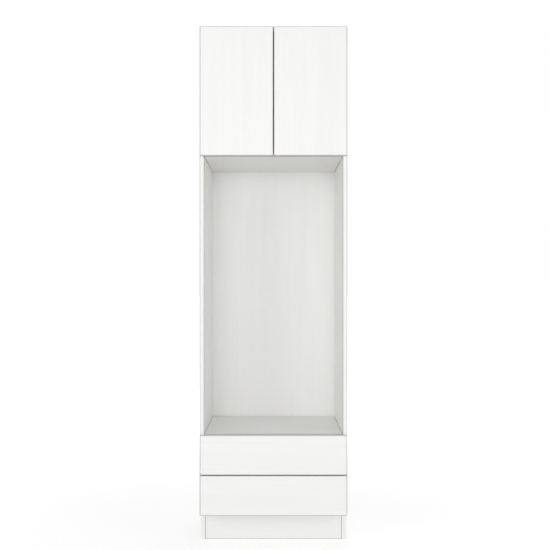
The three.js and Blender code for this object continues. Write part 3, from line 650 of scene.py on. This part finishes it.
class HardwareSettings(bpy.types.PropertyGroup):
    cup_screw_radius: metres("Cup screw", "Head radius of the hinge cup screws", 0.0036)
    plate_screw_radius: metres("Plate screw", "Head radius of the plate screws", 0.0042)
    arm_screw_radius: metres("Arm screw", "Head radius of the hinge arm's two screws", 0.0033)
    runner_screw_radius: metres("Runner screw", "Head radius of the runner screws", 0.0036)
    lever_length: metres("Lever", "Length of the runners' release levers", 0.062)
    lever_thickness: metres("Lever thickness", "Thickness of those levers", 0.0022)
    ball_radius: metres("Ball", "Radius of the runner balls", 0.00162)
    balls: IntProperty(name="Balls", description="Balls in each track of a cage",
                       default=9, min=2, max=20)
    cam_radius: metres("Cam", "Radius of the cams in their bores", 0.0071)
    pad_radius: metres("Bumper pad", "Radius of the clear bumper pads", 0.004)


class StageSettings(bpy.types.PropertyGroup):
    camera_height: metres("Camera height", "Height of the lens", 1.046)
    camera_distance: metres("Camera distance", "From the carcass front to the lens", 3.95)
    focal_length: FloatProperty(
        name="Focal length", description="Lens on a 36 mm wide sensor, in millimetres",
        default=63.57, min=10, max=300, unit="CAMERA")
    shift: FloatVectorProperty(
        name="Shift", description="Share of the picture's width by which the lens shifts",
        size=2, default=(0.00276, 0.02))
    key_power: watts("Key", "Power of the large lamp at the left", 26)
    fill_power: watts("Fill", "Power of the large lamp at the right", 21)
    front_power: watts("Front", "Power of the lamp behind the lens", 200)
    rear_power: watts("Rear", "Power of the lamp behind the unit", 46)
    top_power: watts("Top", "Power of the lamp overhead", 12)
    ambient: fraction("Ambient", "Strength of the studio's own light", 0.49)
    floor_radius: metres("Floor", "Radius of the floor", 90.0)


# ---- Finishes --------------------------------
def dress(node, material):
    """Gives a CAD part its finish."""
    slots = frame["nodes"][node].data.materials
    slots.clear()
    slots.append(material)


def round_edges(node, radius):
    """Fine rounding of a board's edges, on top of the CAD shape."""
    obj = frame["nodes"][node]
    weld = obj.modifiers.new("weld", "WELD")
    weld.merge_threshold = WELD_DISTANCE
    bevel = obj.modifiers.new("edge", "BEVEL")
    bevel.width = radius
    bevel.segments = 2
    bevel.limit_method = "ANGLE"
    bevel.angle_limit = np.radians(BOARD_EDGE_DEGREES)
    bevel.use_clamp_overlap = False
    bevel.harden_normals = True


def face(nodes, colour, along, options, rounding=0, **edges):
    """Gives boards a facing with grain along one axis and, with a radius, round edges."""
    for node in nodes:
        dress(node, board_material(node, colour, along, options, **edges))
        if rounding:
            round_edges(node, rounding)


def smooth_forms_group(limit):
    """Geometry nodes that join a part's loose triangles, mark each edge sharp where its two
    faces turn by more than the limit, and shade every face smooth."""
    group = bpy.data.node_groups.new("smooth_forms", "GeometryNodeTree")
    for way in ("INPUT", "OUTPUT"):
        group.interface.new_socket("Geometry", in_out=way, socket_type="NodeSocketGeometry")
    start = group.nodes.new("NodeGroupInput")
    end = group.nodes.new("NodeGroupOutput")
    merge = group.nodes.new("GeometryNodeMergeByDistance")
    merge.inputs["Distance"].default_value = WELD_DISTANCE
    angle = group.nodes.new("GeometryNodeInputMeshEdgeAngle")
    steep = group.nodes.new("FunctionNodeCompare")
    steep.operation = "GREATER_THAN"
    steep.inputs["B"].default_value = limit
    sharpen = group.nodes.new("GeometryNodeSetShadeSmooth")
    sharpen.domain = "EDGE"
    sharpen.inputs["Shade Smooth"].default_value = False
    smooth = group.nodes.new("GeometryNodeSetShadeSmooth")
    smooth.inputs["Shade Smooth"].default_value = True
    chain = (start, merge, sharpen, smooth, end)
    for source, target in zip(chain, chain[1:]):
        group.links.new(source.outputs[0], target.inputs[0])
    group.links.new(angle.outputs["Unsigned Angle"], steep.inputs["A"])
    group.links.new(steep.outputs[0], sharpen.inputs["Selection"])
    return group


class HOUSING_OT_board_finishes(bpy.types.Operator):
    """Grain, edge bands and raw edges on every carcass and drawer board"""
    bl_idname = "housing.board_finishes"
    bl_label = "Board finishes"

    def execute(self, context):
        options = context.scene.housing_finishes
        board, rounding = options.board_colour, options.edge_round
        kick_low, kick_high = box_of("toe_kick")
        face(SIDE_PANELS, board, Z, options, banded=[(Y, -1), (Z, 1)], raw=[(Y, 1), (Z, -1)],
             notch=(float(kick_low[Y]), float(kick_high[Z])))
        face(SHELVES + ("adjustable_shelf",), board, X, options, rounding,
             banded=[(Y, -1)], raw=[(Y, 1), (X, -1), (X, 1)])
        face(["toe_kick"], board, X, options, rounding)
        face(RAILS, board, X, options, rounding, raw=[(Z, -1), (Z, 1)])
        for name in DRAWERS:
            face([f"{name}_{side}_side" for side, _ in SIDES], board, Y, options, rounding,
                 banded=[(Z, 1)], raw=[(Y, 1), (Z, -1)])
            face([f"{name}_back"], board, X, options, rounding,
                 banded=[(Z, 1)], raw=[(X, -1), (X, 1), (Z, -1)])
            face([f"{name}_bottom"], options.back_colour, X, options,
                 raw=[(Y, 1)], core=fibreboard)
        return {"FINISHED"}


class HOUSING_OT_back_finishes(bpy.types.Operator):
    """Upright grain on the thin back panels"""
    bl_idname = "housing.back_finishes"
    bl_label = "Back panel finishes"

    def execute(self, context):
        options = context.scene.housing_finishes
        face(BACKS, options.back_colour, Z, options, core=fibreboard)
        return {"FINISHED"}


class HOUSING_OT_front_finishes(bpy.types.Operator):
    """Woodgrain foil, upright on the doors and level on the drawer fronts"""
    bl_idname = "housing.front_finishes"
    bl_label = "Front finishes"

    def execute(self, context):
        options = context.scene.housing_finishes
        face(DOORS, options.front_colour, Z, options, core=fibreboard)
        face(DRAWER_FRONTS, options.front_colour, X, options, core=fibreboard)
        return {"FINISHED"}


class HOUSING_OT_metal_finishes(bpy.types.Operator):
    """Nickel on hinges and shelf pins, zinc on the runners, plastics for the small parts"""
    bl_idname = "housing.metal_finishes"
    bl_label = "Metal and plastic finishes"

    def execute(self, context):
        options = context.scene.housing_finishes
        metal_material("nickel_plate", options.nickel_colour, roughness=0.27,
                       drawn=(900, 120, 900))
        metal_material("zinc_plate", options.zinc_colour, roughness=0.34,
                       drawn=(1500, 14, 1500), spangle=0.07)
        metal_material("ball_steel", (0.62, 0.63, 0.65), roughness=0.16, drawn=(400, 400, 400))
        metal_material("cage_steel", (0.46, 0.47, 0.49), roughness=0.32, drawn=(1200, 30, 1200))
        metal_material("cam_zinc", (0.52, 0.52, 0.52), roughness=0.42,
                       drawn=(500, 500, 500), spangle=0.5)
        moulded_material("clear_pad", (0.86, 0.87, 0.86), roughness=0.22, clear=0.55)
        moulded_material("lever_plastic", (0.05, 0.05, 0.052), roughness=0.42)
        for node in filter(plating, frame["nodes"]):
            dress(node, need(plating(node)))
        return {"FINISHED"}


class HOUSING_OT_smooth_forms(bpy.types.Operator):
    """Smooth shading over the facets of rolled, turned or rounded parts, with flats kept flat"""
    bl_idname = "housing.smooth_forms"
    bl_label = "Smooth forms"

    def execute(self, context):
        group = smooth_forms_group(np.radians(ROUND_FORM_DEGREES))
        metal = filter(plating, frame["nodes"])
        for node in [*metal, *DRAWER_FRONTS, *DOORS, *SIDE_PANELS]:
            obj = frame["nodes"][node]
            obj.modifiers.new("smooth forms", "NODES").node_group = group
            flats = obj.modifiers.new("flats", "WEIGHTED_NORMAL")
            flats.mode = "FACE_AREA"
            flats.weight = 100
            flats.keep_sharp = True
        return {"FINISHED"}


# ---- Small hardware --------------------------
class HOUSING_OT_hinge_screws(bpy.types.Operator):
    """Cross-recess screws of the hinge cups, plates and arms, and the arms' rivet heads"""
    bl_idname = "housing.hinge_screws"
    bl_label = "Hinge screws and rivets"

    def execute(self, context):
        sizes = context.scene.housing_hardware
        cup_screw = screw_rings(sizes.cup_screw_radius, *CUP_SCREW)
        plate_screw = screw_rings(sizes.plate_screw_radius, *PLATE_SCREW)
        arm_screw = screw_rings(sizes.arm_screw_radius, *ARM_SCREW)
        rivet_head = dome_rings(*HINGE_RIVET)
        for side, sign in SIDES:
            inward = (-sign, 0, 0)
            web_x = sign * (faces_across(f"{side}_side_panel")[0] - ARM_WEB_RISE)
            rivet = joint_named(f"{side}_link_turn")["pos_m"][:2]
            for level in ("lower", "upper"):
                hinge = f"{side}_{level}_hinge"
                low, high = box_of(f"{hinge}_cup")
                wing_x = (high if sign < 0 else low)[X] + sign * WING_SCREW_INSET
                middle_z = (low + high)[Z] / 2
                put_copies(f"{hinge}_cup_screws", cup_screw,
                           [(wing_x, high[Y], middle_z + end * WING_SPREAD) for end in (-1, 1)],
                           stopped_at((0, 1, 0), 0.3, 1.1), "nickel_plate", f"{side}_door_leaf")

                low, high = box_of(f"{hinge}_plate")
                _, middle_y, middle_z = (low + high) / 2
                face_x = (low if sign < 0 else high)[X] - sign * PLATE_SHEET
                put_copies(f"{hinge}_plate_screws", plate_screw,
                           [(face_x, middle_y, middle_z + end * PLATE_SPREAD) for end in (-1, 1)],
                           stopped_at(inward, 0.7, 0.15), "nickel_plate", "carcass")
                put_copies(f"{hinge}_arm_screws", arm_screw,
                           [(web_x, middle_y + end * ARM_SPREAD, middle_z) for end in (-1, 1)],
                           stopped_at(inward, 0.4, 1.3), "nickel_plate", "carcass")

                low, high = box_of(f"{hinge}_arm")
                put_copies(f"{hinge}_rivet_heads", rivet_head,
                           [(*rivet, low[Z]), (*rivet, high[Z])],
                           [axes_for((0, 0, end)) for end in (-1, 1)],
                           "nickel_plate", "carcass", creased=False)
        return {"FINISHED"}


class HOUSING_OT_runner_cages(bpy.types.Operator):
    """Ball cages and balls between the three members of every drawer runner"""
    bl_idname = "housing.runner_cages"
    bl_label = "Runner balls and cages"

    def execute(self, context):
        sizes = context.scene.housing_hardware
        ball = ball_rings(sizes.ball_radius)
        for name, side, sign in DRAWER_SIDES:
            body = name.replace("_drawer", "_middle_runners")
            runner = f"{name}_{side}"
            outer, mid, inner = (box_of(f"{runner}_{member}_member")
                                 for member in ("cabinet", "middle", "drawer"))
            wall = faces_across(f"{runner}_cabinet_member")[1]
            (_, front, bottom), (_, rear, top) = mid
            centre_z, halfway = (bottom + top) / 2, (front + rear) / 2
            tracks = {
                "outer": (*OUTER_CAGE, outer, mid, halfway, rear - CAGE_END_GAP),
                "inner": (*INNER_CAGE, mid, inner,
                          front + CAGE_END_GAP, halfway - CAGE_HALFWAY_GAP),
            }
            for track, (web, lip, around, within, start, end) in tracks.items():
                # the balls run halfway between the flanges of the two members
                level = (around[1][Z] - RUNNER_SHEET + within[1][Z]) / 2 - centre_z
                profile = track_profile(sign * (wall - web), sign * (wall - lip),
                                        level, CAGE_BEND)
                cage = put_piece(f"{runner}_{track}_cage",
                                 open_sheet(profile + (0, centre_z), start, end),
                                 need("cage_steel"), body, creased=True)
                sheet = cage.modifiers.new("sheet", "SOLIDIFY")
                sheet.thickness = CAGE_SHEET
                sheet.offset = 0

                ball_x = sign * (wall - (web + lip) / 2)
                along = np.linspace(start + FIRST_BALL, end - FIRST_BALL, sizes.balls)
                places = [(ball_x, y, centre_z + up * level) for up in (-1, 1) for y in along]
                put_copies(f"{runner}_{track}_balls", ball, places,
                           [np.eye(3)] * len(places), "ball_steel", body, creased=False)
        return {"FINISHED"}


class HOUSING_OT_runner_screws(bpy.types.Operator):
    """Screws in the slots of the cabinet and drawer members of every runner"""
    bl_idname = "housing.runner_screws"
    bl_label = "Runner screws"

    def execute(self, context):
        radius = context.scene.housing_hardware.runner_screw_radius
        for name, side, sign in DRAWER_SIDES:
            for member in ("cabinet", "drawer"):
                node = f"{name}_{side}_{member}_member"
                low, high = box_of(node)
                inner, outer = faces_across(node)
                if member == "cabinet":
                    web, facing, body = outer - RUNNER_SHEET, -sign, "carcass"
                    screw = CABINET_MEMBER_SCREW
                else:
                    web, facing, body = inner + RUNNER_SHEET, sign, name
                    screw = DRAWER_MEMBER_SCREW
                stations = (low[Y] + SLOT_INSET, (low[Y] + high[Y]) / 2, high[Y] - SLOT_INSET)
                put_copies(f"{name}_{side}_{member}_screws", screw_rings(radius, *screw),
                           [(sign * web, y, (low + high)[Z] / 2) for y in stations],
                           stopped_at((facing, 0, 0), 0.2, 0.9, 1.4), "nickel_plate", body)
        return {"FINISHED"}


class HOUSING_OT_release_levers(bpy.types.Operator):
    """Levers that unhook a drawer from its runners, seen where the runner is pulled out"""
    bl_idname = "housing.release_levers"
    bl_label = "Release levers"

    def execute(self, context):
        sizes = context.scene.housing_hardware
        length, thickness = sizes.lever_length, sizes.lever_thickness
        lever, rivet = lever_rings(length, thickness), dome_rings(*LEVER_RIVET)
        for name, side, sign in DRAWER_SIDES:
            travel = joint_named(f"{name}_slide")["range_m"][1]
            middle_travel = joint_named(f"{name.replace('drawer', 'runner')}_slide")["range_m"][1]
            node = f"{name}_{side}_drawer_member"
            low, high = box_of(node)
            face_x = faces_across(node)[0] + RUNNER_SHEET + LEVER_PLAY
            start = low[Y] + travel - middle_travel - LEVER_CLEARANCE - length
            middle_z = (low + high)[Z] / 2
            # one kind of lever for both sides, turned over on the left
            put_copies(f"{name}_{side}_release_lever", lever,
                       [(sign * (face_x + thickness / 2), start, middle_z)],
                       [np.diag([sign, 1.0, sign])], "lever_plastic", name, creased=False)
            pivot_y = start + LEVER_PIVOT[0] * length
            put_copies(f"{name}_{side}_lever_rivet", rivet,
                       [(sign * (face_x + thickness), pivot_y, middle_z)],
                       stopped_at((sign, 0, 0), 0), "nickel_plate", name, creased=False)
        return {"FINISHED"}


class HOUSING_OT_cam_fittings(bpy.types.Operator):
    """Cam fittings that draw the fixed boards against the side panels"""
    bl_idname = "housing.cam_fittings"
    bl_label = "Cam fittings"

    def execute(self, context):
        cam = cam_rings(context.scene.housing_hardware.cam_radius)
        for node in SHELVES:
            low, high = box_of(node)
            up = 1 if node == "cupboard_base" else -1
            places = [(sign * (high[X] - CAM_END_DISTANCE), y, (high if up > 0 else low)[Z])
                      for _, sign in SIDES
                      for y in (low[Y] + CAM_EDGE_DISTANCE, high[Y] - CAM_EDGE_DISTANCE)]
            put_copies(f"{node}_cams", cam, places,
                       stopped_at((0, 0, up), 0.1, 0.5, 1.2, 0.8), "cam_zinc", "carcass")
        return {"FINISHED"}


class HOUSING_OT_drawer_joints(bpy.types.Operator):
    """Cams that hold each drawer's front, and screws through its sides into its back"""
    bl_idname = "housing.drawer_joints"
    bl_label = "Drawer joints"

    def execute(self, context):
        sizes = context.scene.housing_hardware
        cam = cam_rings(sizes.cam_radius)
        screw = screw_rings(sizes.plate_screw_radius, *DRAWER_BACK_SCREW, recess=0.9)
        for name, side, sign in DRAWER_SIDES:
            node = f"{name}_{side}_side"
            low, high = box_of(node)
            inner, outer = faces_across(node)
            back_y, middle_z = centre_of(f"{name}_back")[Y], (low + high)[Z] / 2
            lowest = box_of(f"{name}_bottom")[1][Z] + GROOVE_PLAY + DRAWER_CAM_MARGIN
            put_copies(f"{name}_{side}_cams", cam,
                       [(sign * inner, low[Y] + CAM_END_DISTANCE, z)
                        for z in (lowest, high[Z] - DRAWER_CAM_MARGIN)],
                       stopped_at((-sign, 0, 0), 0.3, 1.0), "cam_zinc", name)
            put_copies(f"{name}_{side}_back_screws", screw,
                       [(sign * outer, back_y, middle_z + up) for up in BACK_SCREW_HEIGHTS],
                       stopped_at((sign, 0, 0), 0.6, 1.3), "nickel_plate", name)
        return {"FINISHED"}


class HOUSING_OT_bumper_pads(bpy.types.Operator):
    """Clear pads on the back of the fronts, where they meet the carcass edges"""
    bl_idname = "housing.bumper_pads"
    bl_label = "Bumper pads"

    def execute(self, context):
        pad = dome_rings(context.scene.housing_hardware.pad_radius, PAD_HEIGHT, PAD_FOOT)
        edge_x = abs(centre_of(SIDE_PANELS[0])[X])
        base_z, top_z = centre_of("cupboard_base")[Z], centre_of("top_panel")[Z]
        for side, sign in SIDES:
            rear_y = box_of(f"{side}_door")[1][Y]
            put_copies(f"{side}_door_pads", pad,
                       [(sign * DOOR_PAD_OFFSET, rear_y, z) for z in (base_z, top_z)],
                       stopped_at((0, 1, 0), 0, 0), "clear_pad", f"{side}_door_leaf",
                       creased=False)
        for name in DRAWERS:
            low, high = box_of(f"{name}_front")
            put_copies(f"{name}_front_pads", pad,
                       [(sign * edge_x, high[Y], z) for _, sign in SIDES
                        for z in (low[Z] + FRONT_PAD_MARGIN, high[Z] - FRONT_PAD_MARGIN)],
                       stopped_at((0, 1, 0), 0, 0, 0, 0), "clear_pad", name, creased=False)
        return {"FINISHED"}


# ---- Stage, light and camera -----------------
def lamp(name, place, target, diameter, power):
    """Round lamp at a place, its light going along its own -Z to the target."""
    light = bpy.data.lights.new(name, "AREA")
    light.shape = "DISK"
    light.size = diameter
    light.energy = power
    made = bpy.data.objects.new(name, light)
    bpy.context.scene.collection.objects.link(made)
    turned = np.eye(4)
    turned[:3, :3] = axes_for(np.subtract(place, target))
    turned[:3, 3] = place
    made.matrix_world = Matrix(turned.tolist())


def seen_directly(tree):
    """1 for rays from the lens, from mirrors and through glass, else 0."""
    path = tree.nodes.new("ShaderNodeLightPath")
    total = path.outputs["Is Camera Ray"]
    for name in ("Is Glossy Ray", "Is Transmission Ray"):
        step = tree.nodes.new("ShaderNodeMath")
        step.operation = "MAXIMUM"
        tree.links.new(total, step.inputs[0])
        tree.links.new(path.outputs[name], step.inputs[1])
        total = step.outputs[0]
    return total


def studio_floor():
    """Pale floor that glows where the lens sees it, a little more the farther it lies."""
    shelf = Shelf("studio_floor")
    place = shelf.place()
    cloud = shelf.noise(place, 1.5, 3, 0.5)
    distance = shelf.add("ShaderNodeVectorMath", 1, {0: place}, operation="LENGTH")
    glow = shelf.ramp(distance, *GLOW_RADII, *FLOOR_GLOW, smooth=True)
    shelf.set(Base_Color=shelf.mix(cloud, *FLOOR_GREYS), Roughness=0.9,
              Specular_IOR_Level=0.2, Emission_Color=WHITE,
              Emission_Strength=shelf.math("MULTIPLY", seen_directly(shelf.tree), glow))
    return shelf.material


class HOUSING_OT_stage(bpy.types.Operator):
    """Pale floor, white studio, soft lamps and the camera"""
    bl_idname = "housing.stage"
    bl_label = "Stage, light and camera"

    def execute(self, context):
        settings = context.scene.housing_stage
        radii = settings.floor_radius * np.geomspace(0.01, 1, FLOOR_RINGS)
        points, quads, triangles = closed_surface(
            turned_profile(radii, np.zeros(FLOOR_RINGS), FLOOR_SIDES))
        inner_fan = triangles[:FLOOR_SIDES]
        put_piece("floor", (points[:-1], quads[:, ::-1], inner_fan[:, ::-1]),
                           studio_floor())

        world = bpy.data.worlds.new("studio")
        world.use_nodes = True
        context.scene.world = world
        tree = world.node_tree
        strength = tree.nodes.new("ShaderNodeMapRange")
        strength.inputs["To Min"].default_value = settings.ambient
        strength.inputs["To Max"].default_value = 1.0
        tree.links.new(seen_directly(tree), strength.inputs["Value"])
        background = tree.nodes["Background"]
        background.inputs["Color"].default_value = WHITE
        tree.links.new(strength.outputs[0], background.inputs["Strength"])

        unit_centre = (0, 0, cad_high[Z] / 2)
        for name, (place, diameter) in LAMPS.items():
            lamp(name, place, unit_centre, diameter, getattr(settings, f"{name}_power"))

        lens = bpy.data.cameras.new("camera")
        lens.sensor_width = SENSOR_WIDTH
        lens.lens = settings.focal_length
        lens.shift_x, lens.shift_y = settings.shift
        lens.clip_end = LENS_REACH
        camera = bpy.data.objects.new("camera", lens)
        context.scene.collection.objects.link(camera)
        carcass_front = box_of(SIDE_PANELS[0])[0][Y]
        camera.location = (0, carcass_front - settings.camera_distance, settings.camera_height)
        camera.rotation_euler = (np.pi / 2, 0, 0)
        context.scene.camera = camera
        context.scene.view_settings.view_transform = "Standard"
        return {"FINISHED"}


# ---- Panel and registration ------------------
STEPS = (
    HOUSING_OT_board_finishes,
    HOUSING_OT_back_finishes,
    HOUSING_OT_front_finishes,
    HOUSING_OT_metal_finishes,
    HOUSING_OT_smooth_forms,
    HOUSING_OT_hinge_screws,
    HOUSING_OT_runner_cages,
    HOUSING_OT_runner_screws,
    HOUSING_OT_release_levers,
    HOUSING_OT_cam_fittings,
    HOUSING_OT_drawer_joints,
    HOUSING_OT_bumper_pads,
    HOUSING_OT_stage,
)
SETTINGS = {
    "housing_finishes": FinishSettings,
    "housing_hardware": HardwareSettings,
    "housing_stage": StageSettings,
}


class HOUSING_PT_sidebar(bpy.types.Panel):
    """Steps and sizes of the housing unit"""
    bl_idname = "HOUSING_PT_sidebar"
    bl_label = "Oven housing unit"
    bl_space_type = "VIEW_3D"
    bl_region_type = "UI"
    bl_category = "Housing"

    def draw(self, context):
        for step in STEPS:
            self.layout.operator(step.bl_idname)
        for group in SETTINGS:
            box = self.layout.box()
            values = getattr(context.scene, group)
            for name in values.bl_rna.properties.keys():
                if name not in ("rna_type", "name"):
                    box.prop(values, name)


CLASSES = (*SETTINGS.values(), *STEPS, HOUSING_PT_sidebar)


def register():
    for kind in CLASSES:
        bpy.utils.register_class(kind)
    for group, kind in SETTINGS.items():
        setattr(bpy.types.Scene, group, PointerProperty(type=kind))


def unregister():
    for group in SETTINGS:
        delattr(bpy.types.Scene, group)
    for kind in reversed(CLASSES):
        bpy.utils.unregister_class(kind)


def main():
    register()
    bpy.ops.housing.board_finishes()
    bpy.ops.housing.back_finishes()
    bpy.ops.housing.front_finishes()
    bpy.ops.housing.metal_finishes()
    bpy.ops.housing.smooth_forms()
    bpy.ops.housing.hinge_screws()
    bpy.ops.housing.runner_cages()
    bpy.ops.housing.runner_screws()
    bpy.ops.housing.release_levers()
    bpy.ops.housing.cam_fittings()
    bpy.ops.housing.drawer_joints()
    bpy.ops.housing.bumper_pads()
    bpy.ops.housing.stage()
    bpy.context.view_layer.update()


if __name__ == "__main__":
    main()
